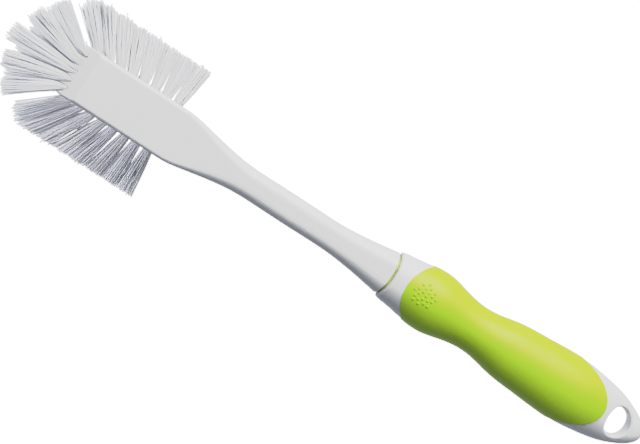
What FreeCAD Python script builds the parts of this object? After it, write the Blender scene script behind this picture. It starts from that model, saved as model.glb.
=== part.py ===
"""Dish brush: a white head and neck, plugged into a white handle that wears a soft green grip.

The brush is built in its own straight frame: X runs from the nose to the tail, Y across the brush
and Z out of the back of the head, whose flat back lies in Z = 0. Each tuft sits in a blind bore of
the head, held by a wire anchor. At the end every piece is laid down together, so that the brush
rests on its tufts and on its grip, with the floor in Z = 0.
"""

import FreeCAD, Part
import math
import os
from collections import namedtuple

import Sketcher
from FreeCAD import Placement, Rotation, Vector

# Driving dimensions in millimetres, and angles in degrees
SIZES = {
    # Head: a flat-backed bar with slanted flanks and a beaked nose
    "head_length": 47.3,
    "head_width": 21.2,
    "head_thick": 12.0,
    "head_edge_radius": 1.6,
    "side_wall_height": 4.5,
    "keel_width": 11.0,
    "flank_end_margin": 1.2,
    "nose_run": 9.2,
    "nose_drop": 6.0,
    "nose_lean": 3.5,
    "nose_edge_radius": 0.7,
    # Neck: thin in the middle, flaring to the seam with the handle
    "neck_length": 98.3,
    "neck_width": 11.7,
    "neck_thick": 8.6,
    "neck_edge_radius": 4.1,
    "neck_sink": 0.3,
    "neck_end_width": 18.0,
    "neck_end_thick": 14.8,
    "neck_end_edge_radius": 6.4,
    "handle_axis_sink": 5.2,
    # Tang of the neck, its snap lugs and the socket that takes them
    "tang_length": 30.0,
    "tang_width": 9.6,
    "tang_thick": 7.0,
    "tang_edge_radius": 0.8,
    "lug_station": 21.0,
    "lug_length": 4.0,
    "lug_width": 5.0,
    "lug_height": 0.7,
    "socket_clearance": 0.1,
    # Seal ring in the groove between neck and handle, which bows towards the tail
    "seam_gap": 1.0,
    "seam_radius": 30.0,
    "ring_sink": 1.1,
    # Handle: collar, thumb swell, waist, palm swell and flat tail
    "handle_length": 116.6,
    "collar_width": 19.3,
    "collar_thick": 15.8,
    "collar_edge_radius": 0.8,
    "thumb_station": 20.0,
    "thumb_width": 24.5,
    "thumb_thick": 20.6,
    "waist_station": 37.0,
    "waist_width": 18.4,
    "waist_thick": 17.2,
    "palm_station": 80.0,
    "palm_width": 26.6,
    "palm_thick": 20.8,
    "tail_station": 102.0,
    "tail_width": 20.8,
    "tail_thick": 13.2,
    "tail_end_thick": 9.0,
    "tail_tip_radius": 4.2,
    # Grip: a soft sleeve let into the handle, with a rounded end each way
    "grip_wall": 2.2,
    "grip_proud": 0.25,
    "grip_side_room": 0.6,
    "grip_start": 5.6,
    "grip_front_round": 14.0,
    "grip_end": 97.0,
    "grip_rear_round": 24.0,
    # Hang hole in the tail: a wide arc facing the grip and a tighter one facing the tip
    "hang_hole_end": 109.8,
    "hang_hole_length": 10.4,
    "hang_hole_front_radius": 9.2,
    "hang_hole_rear_radius": 5.8,
    "hang_hole_corner_radius": 1.3,
    "hang_hole_rim_radius": 0.8,
    # Tufts, their bores and their wire anchors
    "tuft_radius": 1.4,
    "bore_clearance": 0.05,
    "bore_depth": 5.0,
    "flare_start": 2.5,
    "anchor_thick": 0.45,
    "anchor_height": 1.5,
    "anchor_rise": 0.9,
    # Flank rows, one on each side
    "flank_row_start": 9.0,
    "flank_row_end": 4.8,
    "flank_reach": 26.8,
    "fan_tuft_length": 28.0,
    "fan_tip_radius": 2.9,
    "flank_front_azimuth": 45.0,
    "flank_rear_azimuth": 93.5,
    # Two rows on the nose and one on the toe just behind it
    "nose_row_margin": 2.74,
    "nose_fan_step": 17.0,
    "nose_upper_length": 26.5,
    "nose_upper_tilt": -4.0,
    "nose_lower_length": 24.5,
    "toe_setback": 7.6,
    "toe_length": 24.0,
    "toe_tilt": -60.0,
    # Two rows on the keel
    "keel_row_offset": 3.6,
    "keel_tuft_length": 24.0,
    "keel_tip_radius": 2.3,
    "keel_splay": 15.0,
    "keel_front_lean": 20.0,
    "keel_rear_lean": -6.0,
    # How far every cutting tool runs past what it cuts
    "overrun": 4.0,
}

# Counts of tufts in each row; a keel row has one fewer than a flank row
FLANK_TUFTS = 8
NOSE_UPPER_TUFTS = 5
NOSE_LOWER_TUFTS = 4
TOE_TUFTS = 3

# Neck sections behind the head: share of the neck's length, and of the way from head to neck size
TAPER_SHARES = ((0.0, 0.0), (0.088, 0.21), (0.165, 0.526), (0.242, 0.80), (0.319, 0.97), (0.42, 1.0))
# Neck sections before the seam: share of the neck's length, and of the way from neck to end size
FLARE_SHARES = ((0.66, 0.0), (0.747, 0.04), (0.826, 0.25), (0.905, 0.57), (0.959, 0.84), (1.0, 1.0))

# Handle sections between two named ones: share of the way along, and of the change in size
COLLAR_TO_THUMB_SHARES = ((0.22, 0.34), (0.5, 0.68))
THUMB_TO_WAIST_SHARES = ((0.47, 0.54),)
WAIST_TO_PALM_SHARES = ((0.16, 0.12), (0.34, 0.50), (0.63, 0.78))
PALM_TO_TAIL_SHARES = ((0.30, 0.10), (0.62, 0.42))
# Sections of the rounded tail tip, as shares of the way from the tail section to the tip
TIP_SHARES = (0.45, 0.70, 0.85, 0.94, 0.985, 0.998)
# Where the tip's upper and lower faces start to round, as a share of that same way
TIP_ROUNDING_SHARE = 0.62
# How square the handle's oval sections are: 1 is an ellipse, less is squarer
OVAL_SHARE = 0.97
OVAL_POINTS = 24

# Places across a face, as shares of its width: of the nose's slope, its front and a flank
NOSE_UPPER_SHARE = 0.72
NOSE_LOWER_SHARE = 0.60
FLANK_SHARE = 0.50
# How much of a tuft's fan its bore has; the tuft bends the rest of the way at the mouth
BORE_FAN_SHARE = 0.5
# The toe row's pitch as a share of the nose's
TOE_PITCH_SHARE = 0.87
# Lengths of the nose's upper tufts from the middle outwards, as shares of the longest
NOSE_LENGTH_SHARES = (1.0, 0.90, 0.79)

# How near two places must be to count as one, as a share of the seam's gap
MATCH_SHARE = 0.01
# The azimuth of a tuft that points straight to the side, and the tilt of one that points down
SIDEWAYS = 90.0
STRAIGHT_DOWN = -90.0
# How often the pitch at rest is worked out again from the points that touch the floor
SETTLING_ROUNDS = 6

# A tuft: where its axis leaves the head, which way its bore and it point, its length outside the
# head, and the cell that holds the radius of its tip
Tuft = namedtuple("Tuft", "name mouth bore point length tip_radius")

doc = FreeCAD.newDocument("DishBrush")
sheet = doc.addObject("Spreadsheet::Sheet", "Sizes")
for row, (alias, value) in enumerate(SIZES.items(), start=1):
    sheet.set(f"A{row}", alias)
    sheet.set(f"B{row}", str(value))
    sheet.setAlias(f"B{row}", alias)
doc.recompute()


def size(alias):
    """Read one driving dimension from the sheet."""
    return float(getattr(sheet, alias))


def bind(item, **expressions):
    """Bind properties of an object, given with __ for a dot, to expressions on the sheet."""
    for name, expression in expressions.items():
        item.setExpression(name.replace("__", "."), expression)
    return item


def blend(first, second, share):
    """Write the expression for a size part of the way from one sheet cell to another."""
    return f"(Sizes.{first} + (Sizes.{second} - Sizes.{first}) * {share})"


def primitive(kind, name, placement=None, **expressions):
    """Add a Part primitive with its sizes bound to the sheet."""
    item = bind(doc.addObject(f"Part::{kind}", name), **expressions)
    if placement is not None:
        item.Placement = placement
    return item


def boolean(kind, name, base, tool):
    """Add a Part boolean of two objects."""
    item = doc.addObject(f"Part::{kind}", name)
    item.Base = base
    item.Tool = tool
    return item


def round_edges(name, base, radius, wanted):
    """Round each edge of an object that the test picks, with a radius from the sheet."""
    doc.recompute()
    item = doc.addObject("Part::Fillet", name)
    item.Base = base
    edges = enumerate(base.Shape.Edges, start=1)
    item.Edges = [(index, radius, radius) for index, edge in edges if wanted(edge)]
    return item


def attached_sketch(body, name, role, **expressions):
    """Add a sketch on one of a body's own origin planes, with its offset bound to the sheet."""
    sketch = body.newObject("Sketcher::SketchObject", name)
    plane = next(item for item in body.Origin.OriginFeatures if item.Role == role)
    sketch.AttachmentSupport = [(plane, "")]
    sketch.MapMode = "FlatFace"
    return bind(sketch, **expressions)


def constrain(sketch, kind, *where, value=None, expression=None):
    """Add a constraint to a sketch, and bind its value if it has one."""
    if expression is None:
        return sketch.addConstraint(Sketcher.Constraint(kind, *where))
    index = sketch.addConstraint(Sketcher.Constraint(kind, *where, value))
    sketch.setExpression(f"Constraints[{index}]", expression)
    return index


def draw_oblong(sketch, width, height, corner):
    """Draw an oblong with round corners about the sketch's origin; sizes are sheet expressions."""
    half_w = sheet.evalExpression(width) / 2
    half_h = sheet.evalExpression(height) / 2
    radius = sheet.evalExpression(corner)
    flat_w = half_w - radius
    flat_h = half_h - radius
    corners = ((flat_w, flat_h), (-flat_w, flat_h), (-flat_w, -flat_h), (flat_w, -flat_h))
    starts = ((half_w, -flat_h), (flat_w, half_h), (-half_w, flat_h), (-flat_w, -half_h))
    ends = ((half_w, flat_h), (-flat_w, half_h), (-half_w, -flat_h), (flat_w, -half_h))
    up = Vector(0, 0, 1)
    first = sketch.GeometryCount
    for quarter in range(4):
        sketch.addGeometry(Part.LineSegment(Vector(*starts[quarter]), Vector(*ends[quarter])))
        circle = Part.Circle(Vector(*corners[quarter]), up, radius)
        turn = quarter * math.pi / 2
        sketch.addGeometry(Part.ArcOfCircle(circle, turn, turn + math.pi / 2))
    right, top, left, bottom = (first + 2 * quarter for quarter in range(4))
    for quarter in range(4):
        side = first + 2 * quarter
        arc = side + 1
        following = first + (2 * quarter + 2) % 8
        constrain(sketch, "Tangent", side, 2, arc, 1)
        constrain(sketch, "Tangent", arc, 2, following, 1)
    for arc in (first + 3, first + 5, first + 7):
        constrain(sketch, "Equal", first + 1, arc)
    constrain(sketch, "Vertical", right)
    constrain(sketch, "Horizontal", top)
    constrain(sketch, "Symmetric", top, 1, bottom, 1, -1, 1)
    constrain(sketch, "Symmetric", right, 1, left, 1, -1, 1)
    constrain(sketch, "DistanceX", left, 1, right, 1, value=2 * half_w, expression=width)
    constrain(sketch, "DistanceY", bottom, 1, top, 1, value=2 * half_h, expression=height)
    constrain(sketch, "Radius", first + 1, value=radius, expression=corner)


def draw_polygon(sketch, corners):
    """Draw a closed polygon whose corners are pairs of sheet expressions."""
    points = [Vector(sheet.evalExpression(x), sheet.evalExpression(y)) for x, y in corners]
    first = sketch.GeometryCount
    for index, point in enumerate(points):
        sketch.addGeometry(Part.LineSegment(point, points[(index + 1) % len(points)]))
    for index, (point, corner) in enumerate(zip(points, corners)):
        line = first + index
        constrain(sketch, "Coincident", first + (index - 1) % len(points), 2, line, 1)
        for kind, place, expression in zip(("DistanceX", "DistanceY"), point, corner):
            if place < 0:
                constrain(sketch, kind, line, 1, -1, 1, value=-place, expression=f"-({expression})")
            else:
                constrain(sketch, kind, -1, 1, line, 1, value=place, expression=expression)


def pocket(body, sketch, name, **settings):
    """Cut a sketch out of a body and check that the cut took something away."""
    doc.recompute()
    before = body.Shape.Volume
    item = body.newObject("PartDesign::Pocket", name)
    item.Profile = sketch
    for key, value in settings.items():
        setattr(item, key, value)
    return item, before


def direction(azimuth, tilt):
    """Point from the head: azimuth turns from straight ahead towards +Y, tilt is up from level."""
    level = math.cos(math.radians(tilt))
    turn = math.radians(azimuth)
    return Vector(-level * math.cos(turn), level * math.sin(turn), math.sin(math.radians(tilt)))


def along(start, end, share):
    """Return the point part of the way between two points."""
    return start + (end - start) * share


def spread(first, last, count):
    """Return evenly spaced values from the first to the last."""
    return [first + (last - first) * index / (count - 1) for index in range(count)]


def flank_pitch():
    """Return the distance between neighbouring tufts of a flank row."""
    row = size("head_length") - size("flank_row_start") - size("flank_row_end")
    return row / (FLANK_TUFTS - 1)


def nose_pitch():
    """Return the distance between neighbouring tufts across the nose."""
    return (size("head_width") - 2 * size("nose_row_margin")) / (NOSE_UPPER_TUFTS - 1)


def flank_tufts(side, name):
    """Lay out a flank row: a fan that turns from forwards to sideways, trimmed to one reach."""
    outer = Vector(0, side * size("head_width") / 2, -size("side_wall_height"))
    inner = Vector(0, side * size("keel_width") / 2, -size("head_thick"))
    mouth = along(outer, inner, FLANK_SHARE)
    tilt = -math.degrees(math.atan2(abs(outer.y - inner.y), abs(outer.z - inner.z)))
    azimuths = spread(size("flank_front_azimuth"), size("flank_rear_azimuth"), FLANK_TUFTS)
    tufts = []
    for index, azimuth in enumerate(azimuths):
        point = direction(side * azimuth, tilt)
        bore = direction(side * (SIDEWAYS + (azimuth - SIDEWAYS) * BORE_FAN_SHARE), tilt)
        start = mouth + Vector(size("flank_row_start") + index * flank_pitch(), 0, 0)
        reach = (size("flank_reach") - abs(start.y)) / abs(point.y)
        length = min(reach, size("fan_tuft_length"))
        tufts.append(Tuft(f"tuft_{name}_{index + 1}", start, bore, point, length, "fan_tip_radius"))
    return tufts


def nose_tufts():
    """Lay out the nose's two rows: one on its slope, and one between them on its leaning front."""
    crease = Vector(size("nose_run"), 0, 0)
    beak = Vector(0, 0, -size("nose_drop"))
    toe = Vector(size("nose_lean"), 0, -size("head_thick"))
    upper = along(crease, beak, NOSE_UPPER_SHARE)
    lower = along(beak, toe, NOSE_LOWER_SHARE)
    lower_tilt = -math.degrees(math.atan2(toe.x - beak.x, beak.z - toe.z))
    rows = (
        ("nose_upper", NOSE_UPPER_TUFTS, upper, size("nose_upper_tilt"), NOSE_LENGTH_SHARES),
        ("nose_lower", NOSE_LOWER_TUFTS, lower, lower_tilt, (1.0, 1.0)),
    )
    tufts = []
    for name, count, middle, tilt, shares in rows:
        for index in range(count):
            step = index - (count - 1) / 2
            start = middle + Vector(0, step * nose_pitch(), 0)
            azimuth = step * size("nose_fan_step")
            bore = direction(azimuth * BORE_FAN_SHARE, tilt)
            point = direction(azimuth, tilt)
            length = size(f"{name}_length") * shares[int(abs(step))]
            tufts.append(
                Tuft(f"tuft_{name}_{index + 1}", start, bore, point, length, "fan_tip_radius")
            )
    return tufts


def toe_tufts():
    """Lay out the short row on the keel just behind the nose."""
    tufts = []
    for index in range(TOE_TUFTS):
        step = index - (TOE_TUFTS - 1) / 2
        across = step * nose_pitch() * TOE_PITCH_SHARE
        start = Vector(size("toe_setback"), across, -size("head_thick"))
        azimuth = 2 * step * size("nose_fan_step")
        bore_tilt = STRAIGHT_DOWN + (size("toe_tilt") - STRAIGHT_DOWN) * BORE_FAN_SHARE
        bore = direction(azimuth * BORE_FAN_SHARE, bore_tilt)
        point = direction(azimuth, size("toe_tilt"))
        length = size("toe_length")
        tufts.append(Tuft(f"tuft_toe_{index + 1}", start, bore, point, length, "keel_tip_radius"))
    return tufts


def keel_tufts(side, name):
    """Lay out one keel row: each tuft stands between two of the flank, splayed and leaning."""
    tufts = []
    leans = spread(size("keel_front_lean"), size("keel_rear_lean"), FLANK_TUFTS - 1)
    outward = side * math.tan(math.radians(size("keel_splay")))
    for index, lean in enumerate(leans):
        place = size("flank_row_start") + (index + 1 / 2) * flank_pitch()
        start = Vector(place, side * size("keel_row_offset"), -size("head_thick"))
        forward = math.tan(math.radians(lean))
        bore = Vector(-forward * BORE_FAN_SHARE, outward * BORE_FAN_SHARE, -1).normalize()
        point = Vector(-forward, outward, -1).normalize()
        length = size("keel_tuft_length")
        tufts.append(Tuft(f"tuft_{name}_{index + 1}", start, bore, point, length, "keel_tip_radius"))
    return tufts


ROWS = {
    "flank_left": flank_tufts(-1, "left"),
    "flank_right": flank_tufts(1, "right"),
    "nose": nose_tufts() + toe_tufts(),
    "keel": keel_tufts(-1, "keel_left") + keel_tufts(1, "keel_right"),
}

SEAM = "(Sizes.head_length + Sizes.neck_length)"
HANDLE_START = f"({SEAM} + Sizes.seam_gap)"
AXIS = "-Sizes.handle_axis_sink"
# How far the bowed seam falls back towards the head at the collar's sides
SEAM_FALL = "(Sizes.seam_radius - sqrt(Sizes.seam_radius^2 - (Sizes.collar_width / 2)^2))"


def neck_sections(body):
    """Draw the neck's sections from the head's own section to the seam."""
    stages = [(share, way, "head", "neck") for share, way in TAPER_SHARES]
    stages += [(share, way, "neck", "neck_end") for share, way in FLARE_SHARES]
    centres = {
        "head": "-Sizes.head_thick / 2",
        "neck": "-(Sizes.neck_thick / 2 + Sizes.neck_sink)",
        "neck_end": AXIS,
    }
    sections = []
    for index, (share, way, first, second) in enumerate(stages):
        centre = f"({centres[first]}) * (1 - {way}) + ({centres[second]}) * {way}"
        sketch = attached_sketch(
            body,
            f"NeckSection{index}",
            "YZ_Plane",
            AttachmentOffset__Base__y=centre,
            AttachmentOffset__Base__z=f"Sizes.head_length + Sizes.neck_length * {share}",
        )
        draw_oblong(
            sketch,
            blend(f"{first}_width", f"{second}_width", way),
            blend(f"{first}_thick", f"{second}_thick", way),
            blend(f"{first}_edge_radius", f"{second}_edge_radius", way),
        )
        sections.append(sketch)
    return sections


def draw_neck_end(sketch):
    """Draw what lies behind the neck's bowed end: an arc about the brush's axis, closed by lines."""
    seam = sheet.evalExpression(SEAM)
    radius = size("seam_radius")
    half_width = size("collar_width") / 2 + size("overrun")
    back = seam + size("overrun")
    turn = math.asin(half_width / radius)
    front = seam - radius * (1 - math.cos(turn))
    circle = Part.Circle(Vector(seam - radius, 0), Vector(0, 0, 1), radius)
    arc = sketch.addGeometry(Part.ArcOfCircle(circle, -turn, turn))
    corners = (
        Vector(front, half_width),
        Vector(back, half_width),
        Vector(back, -half_width),
        Vector(front, -half_width),
    )
    lines = [sketch.addGeometry(Part.LineSegment(*pair)) for pair in zip(corners, corners[1:])]
    constrain(sketch, "Coincident", arc, 2, lines[0], 1)
    constrain(sketch, "Coincident", lines[0], 2, lines[1], 1)
    constrain(sketch, "Coincident", lines[1], 2, lines[2], 1)
    constrain(sketch, "Coincident", lines[2], 2, arc, 1)
    constrain(sketch, "Horizontal", lines[0])
    constrain(sketch, "Horizontal", lines[2])
    constrain(sketch, "PointOnObject", arc, 3, -1)
    constrain(sketch, "Symmetric", lines[1], 1, lines[1], 2, -1)
    constrain(sketch, "Radius", arc, value=radius, expression="Sizes.seam_radius")
    constrain(
        sketch,
        "DistanceX",
        -1,
        1,
        arc,
        3,
        value=seam - radius,
        expression=f"{SEAM} - Sizes.seam_radius",
    )
    constrain(
        sketch,
        "DistanceX",
        -1,
        1,
        lines[1],
        1,
        value=back,
        expression=f"{SEAM} + Sizes.overrun",
    )
    constrain(
        sketch,
        "DistanceY",
        lines[1],
        2,
        lines[1],
        1,
        value=2 * half_width,
        expression="Sizes.collar_width + 2 * Sizes.overrun",
    )


def seam_cylinder(name, radius):
    """Build an upright cylinder about the seam's centre; its radius is a sheet expression."""
    height = "(Sizes.palm_thick + Sizes.thumb_thick)"
    return primitive(
        "Cylinder",
        name,
        Radius=radius,
        Height=height,
        Placement__Base__x=f"{SEAM} - Sizes.seam_radius",
        Placement__Base__z=f"{AXIS} - {height} / 2",
    )


def is_nose_edge(edge):
    """Tell whether an edge runs straight across the nose: its crease, its beak or its toe."""
    tolerance = size("seam_gap") * MATCH_SHARE
    box = edge.BoundBox
    straight = box.XLength < tolerance and box.ZLength < tolerance
    return straight and box.XMax < size("nose_run") + tolerance


def build_head_blank():
    """Build the head bar, neck, tang and lugs as one moulding, still without its bores."""
    body = doc.addObject("PartDesign::Body", "HeadBlank")

    bar = attached_sketch(
        body, "HeadSection", "YZ_Plane", AttachmentOffset__Base__y="-Sizes.head_thick / 2"
    )
    draw_oblong(bar, "Sizes.head_width", "Sizes.head_thick", "Sizes.head_edge_radius")
    pad = body.newObject("PartDesign::Pad", "HeadBar")
    pad.Profile = bar
    bind(pad, Length="Sizes.head_length")
    doc.recompute()

    sections = neck_sections(body)
    loft = body.newObject("PartDesign::AdditiveLoft", "Neck")
    loft.Profile = sections[0]
    loft.Sections = sections[1:]
    doc.recompute()

    neck_end = attached_sketch(body, "NeckEnd", "XY_Plane")
    draw_neck_end(neck_end)
    _, before_bow = pocket(body, neck_end, "NeckBow", Type="ThroughAll", SideType="Symmetric")
    doc.recompute()
    after_bow = body.Shape.Volume

    flanks = attached_sketch(body, "FlankSection", "YZ_Plane")
    steep = "(Sizes.head_thick - Sizes.side_wall_height) / (Sizes.head_width - Sizes.keel_width) * 2"
    for sign in ("", "-"):
        draw_polygon(
            flanks,
            (
                (
                    f"{sign}(Sizes.head_width / 2 + Sizes.overrun)",
                    f"-Sizes.side_wall_height + Sizes.overrun * {steep}",
                ),
                (
                    f"{sign}(Sizes.keel_width / 2 - Sizes.overrun / ({steep}))",
                    "-(Sizes.head_thick + Sizes.overrun)",
                ),
                (
                    f"{sign}(Sizes.head_width / 2 + Sizes.overrun)",
                    "-(Sizes.head_thick + Sizes.overrun)",
                ),
            ),
        )
    flank_cut, before_flanks = pocket(body, flanks, "Flanks", Type="Length", Reversed=True)
    bind(flank_cut, Length="Sizes.head_length - Sizes.flank_end_margin")
    doc.recompute()
    after_flanks = body.Shape.Volume

    nose = attached_sketch(body, "NoseProfile", "XZ_Plane")
    draw_polygon(
        nose,
        (
            ("0", "-Sizes.nose_drop"),
            (
                "Sizes.nose_run * (1 + Sizes.overrun / Sizes.nose_drop)",
                "Sizes.overrun",
            ),
            ("-Sizes.overrun", "Sizes.overrun"),
            ("-Sizes.overrun", "-(Sizes.head_thick + Sizes.overrun)"),
            (
                "Sizes.nose_lean * (1 + Sizes.overrun / (Sizes.head_thick - Sizes.nose_drop))",
                "-(Sizes.head_thick + Sizes.overrun)",
            ),
        ),
    )
    nose_cut, before_nose = pocket(body, nose, "Nose", Type="ThroughAll", SideType="Symmetric")
    doc.recompute()
    after_nose = body.Shape.Volume
    if not (after_bow < before_bow and after_flanks < before_flanks and after_nose < before_nose):
        raise RuntimeError("a cut in the head took nothing away")

    rounding = body.newObject("PartDesign::Fillet", "NoseRounding")
    edges = enumerate(nose_cut.Shape.Edges, start=1)
    rounding.Base = (nose_cut, [f"Edge{index}" for index, edge in edges if is_nose_edge(edge)])
    bind(rounding, Radius="Sizes.nose_edge_radius")

    tang = attached_sketch(
        body,
        "TangSection",
        "YZ_Plane",
        AttachmentOffset__Base__y=AXIS,
        AttachmentOffset__Base__z=f"{SEAM} - {SEAM_FALL}",
    )
    draw_oblong(tang, "Sizes.tang_width", "Sizes.tang_thick", "Sizes.tang_edge_radius")
    tang_pad = body.newObject("PartDesign::Pad", "Tang")
    tang_pad.Profile = tang
    bind(tang_pad, Length=f"{SEAM_FALL} + Sizes.seam_gap + Sizes.tang_length")

    lugs = body.newObject("PartDesign::AdditiveBox", "Lugs")
    bind(
        lugs,
        Length="Sizes.lug_length",
        Width="Sizes.lug_width",
        Height="Sizes.tang_thick + 2 * Sizes.lug_height",
        Placement__Base__x=f"{HANDLE_START} + Sizes.lug_station",
        Placement__Base__y="-Sizes.lug_width / 2",
        Placement__Base__z=f"{AXIS} - Sizes.tang_thick / 2 - Sizes.lug_height",
    )
    doc.recompute()
    return body


def axis_placement(mouth, point, shift):
    """Stand a piece on an axis through a bore's mouth, moved along it from there."""
    return Placement(mouth + point * shift, Rotation(Vector(0, 0, 1), point))


def build_bore(tuft):
    """Build the cutter of one blind bore, which runs out past the mouth."""
    return primitive(
        "Cylinder",
        f"bore_{tuft.name}",
        axis_placement(tuft.mouth, tuft.bore, -size("bore_depth")),
        Radius="Sizes.tuft_radius + Sizes.bore_clearance",
        Height="Sizes.bore_depth + Sizes.overrun",
    )


def build_anchor(tuft):
    """Build one flat wire anchor, which wedges across its bore inside the tuft's fold."""
    across = "2 * sqrt((Sizes.tuft_radius + Sizes.bore_clearance)^2 - (Sizes.anchor_thick / 2)^2)"
    anchor = primitive(
        "Box",
        f"anchor_{tuft.name}",
        Length=across,
        Width="Sizes.anchor_thick",
        Height="Sizes.anchor_height",
    )
    frame = axis_placement(tuft.mouth, tuft.bore, size("anchor_rise") - size("bore_depth"))
    corner = Vector(-sheet.evalExpression(across) / 2, -size("anchor_thick") / 2, 0)
    anchor.Placement = frame.multiply(Placement(corner, Rotation()))
    return anchor


def build_tuft(tuft, anchor):
    """Build one tuft: a root folded round its anchor, a knee where it bends, a flare to the tip."""
    knee = tuft.mouth + tuft.bore * size("flare_start")
    root = primitive(
        "Cylinder",
        f"root_{tuft.name}",
        axis_placement(tuft.mouth, tuft.bore, -size("bore_depth")),
        Radius="Sizes.tuft_radius",
        Height="Sizes.bore_depth + Sizes.flare_start",
    )
    bend = primitive(
        "Sphere",
        f"knee_{tuft.name}",
        axis_placement(knee, tuft.point, 0),
        Radius="Sizes.tuft_radius",
    )
    flare = primitive(
        "Cone",
        f"flare_{tuft.name}",
        axis_placement(knee, tuft.point, 0),
        Radius1="Sizes.tuft_radius",
        Radius2=f"Sizes.{tuft.tip_radius}",
        Height=f"{tuft.length} - Sizes.flare_start",
    )
    bundle = doc.addObject("Part::MultiFuse", f"bundle_{tuft.name}")
    bundle.Shapes = [root, bend, flare]
    return boolean("Cut", tuft.name, bundle, anchor)


def build_ring():
    """Build the seal ring that fills the bottom of the bowed groove round the tang."""
    body = doc.addObject("PartDesign::Body", "RingBody")
    sketch = attached_sketch(
        body,
        "RingSection",
        "YZ_Plane",
        AttachmentOffset__Base__y=AXIS,
        AttachmentOffset__Base__z=f"{SEAM} - {SEAM_FALL}",
    )
    draw_oblong(
        sketch,
        "Sizes.neck_end_width - 2 * Sizes.ring_sink",
        "Sizes.neck_end_thick - 2 * Sizes.ring_sink",
        "Sizes.neck_end_edge_radius - Sizes.ring_sink",
    )
    draw_oblong(
        sketch,
        "Sizes.tang_width + 2 * Sizes.socket_clearance",
        "Sizes.tang_thick + 2 * Sizes.socket_clearance",
        "Sizes.tang_edge_radius + Sizes.socket_clearance",
    )
    pad = body.newObject("PartDesign::Pad", "Ring")
    pad.Profile = sketch
    bind(pad, Length=f"{SEAM_FALL} + Sizes.seam_gap")
    bowl = seam_cylinder("RingBowl", "Sizes.seam_radius + Sizes.seam_gap")
    behind = boolean("Common", "RingBehind", body, bowl)
    return boolean("Cut", "neck_ring", behind, seam_cylinder("RingBow", "Sizes.seam_radius"))


def handle_stations():
    """List the handle's sections, collar to tip: distance from the seam's back, width, thickness."""
    named = [
        (-sheet.evalExpression(SEAM_FALL), size("collar_width"), size("collar_thick")),
        (size("thumb_station"), size("thumb_width"), size("thumb_thick")),
        (size("waist_station"), size("waist_width"), size("waist_thick")),
        (size("palm_station"), size("palm_width"), size("palm_thick")),
        (size("tail_station"), size("tail_width"), size("tail_thick")),
    ]
    between = (
        COLLAR_TO_THUMB_SHARES,
        THUMB_TO_WAIST_SHARES,
        WAIST_TO_PALM_SHARES,
        PALM_TO_TAIL_SHARES,
    )
    stations = []
    for first, second, shares in zip(named, named[1:], between):
        stations.append(first)
        for way, change in shares:
            place = first[0] + (second[0] - first[0]) * way
            sides = (a + (b - a) * change for a, b in zip(first[1:], second[1:]))
            stations.append((place, *sides))
    stations.append(named[-1])
    run = size("handle_length") - size("tail_station")
    tail_bulge = size("tail_width") ** 2 / 8 / size("tail_tip_radius") / run
    for way in TIP_SHARES:
        left = run * (1 - way)
        fullness = 1 + (tail_bulge - 1) * (1 - way)
        width = 2 * math.sqrt(2 * size("tail_tip_radius") * fullness * left)
        thick = size("tail_thick") + (size("tail_end_thick") - size("tail_thick")) * min(1, 2 * way)
        if way > TIP_ROUNDING_SHARE:
            turn = (way - TIP_ROUNDING_SHARE) / (1 - TIP_ROUNDING_SHARE)
            thick *= math.sqrt(1 - turn**2)
        stations.append((size("handle_length") - left, width, thick))
    return stations


def oval_wire(station, width, thick):
    """Draw one oval section of the handle, about the handle's axis."""
    start = size("head_length") + size("neck_length") + size("seam_gap")
    points = []
    for index in range(OVAL_POINTS):
        angle = 2 * math.pi * index / OVAL_POINTS
        across = math.copysign(abs(math.cos(angle)) ** OVAL_SHARE, math.cos(angle))
        upward = math.copysign(abs(math.sin(angle)) ** OVAL_SHARE, math.sin(angle))
        height = upward * thick / 2 - size("handle_axis_sink")
        points.append(Vector(start + station, across * width / 2, height))
    curve = Part.BSplineCurve()
    curve.interpolate(points, PeriodicFlag=True)
    return Part.Wire(curve.toShape())


def handle_form(name, grow):
    """Loft the handle's whole outer form, grown outwards by a distance."""
    wires = []
    for station, width, thick in handle_stations():
        wide = max(width + 2 * grow, width / 2)
        high = max(thick + 2 * grow, thick / 2)
        wires.append(oval_wire(station, wide, high))
    item = doc.addObject("Part::Feature", name)
    item.Shape = Part.makeLoft(wires, True, False)
    return item


def upright_oval(name, station, length, width):
    """Extrude an oval plan, upright and through the whole handle; sizes are sheet expressions."""
    oval = doc.addObject("Part::Ellipse", f"{name}Plan")
    along_brush = sheet.evalExpression(length)
    across_brush = sheet.evalExpression(width)
    if along_brush >= across_brush:
        bind(oval, MajorRadius=length, MinorRadius=width)
    else:
        bind(oval, MajorRadius=width, MinorRadius=length)
        oval.Placement = Placement(Vector(), Rotation(Vector(0, 0, 1), SIDEWAYS))
    bind(oval, Placement__Base__x=f"{HANDLE_START} + {station}", Placement__Base__z=AXIS)
    block = doc.addObject("Part::Extrusion", name)
    block.Base = oval
    block.DirMode = "Custom"
    block.Dir = Vector(0, 0, 1)
    block.Solid = True
    block.Symmetric = True
    bind(block, LengthFwd="Sizes.palm_thick + Sizes.thumb_thick")
    return block


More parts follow.
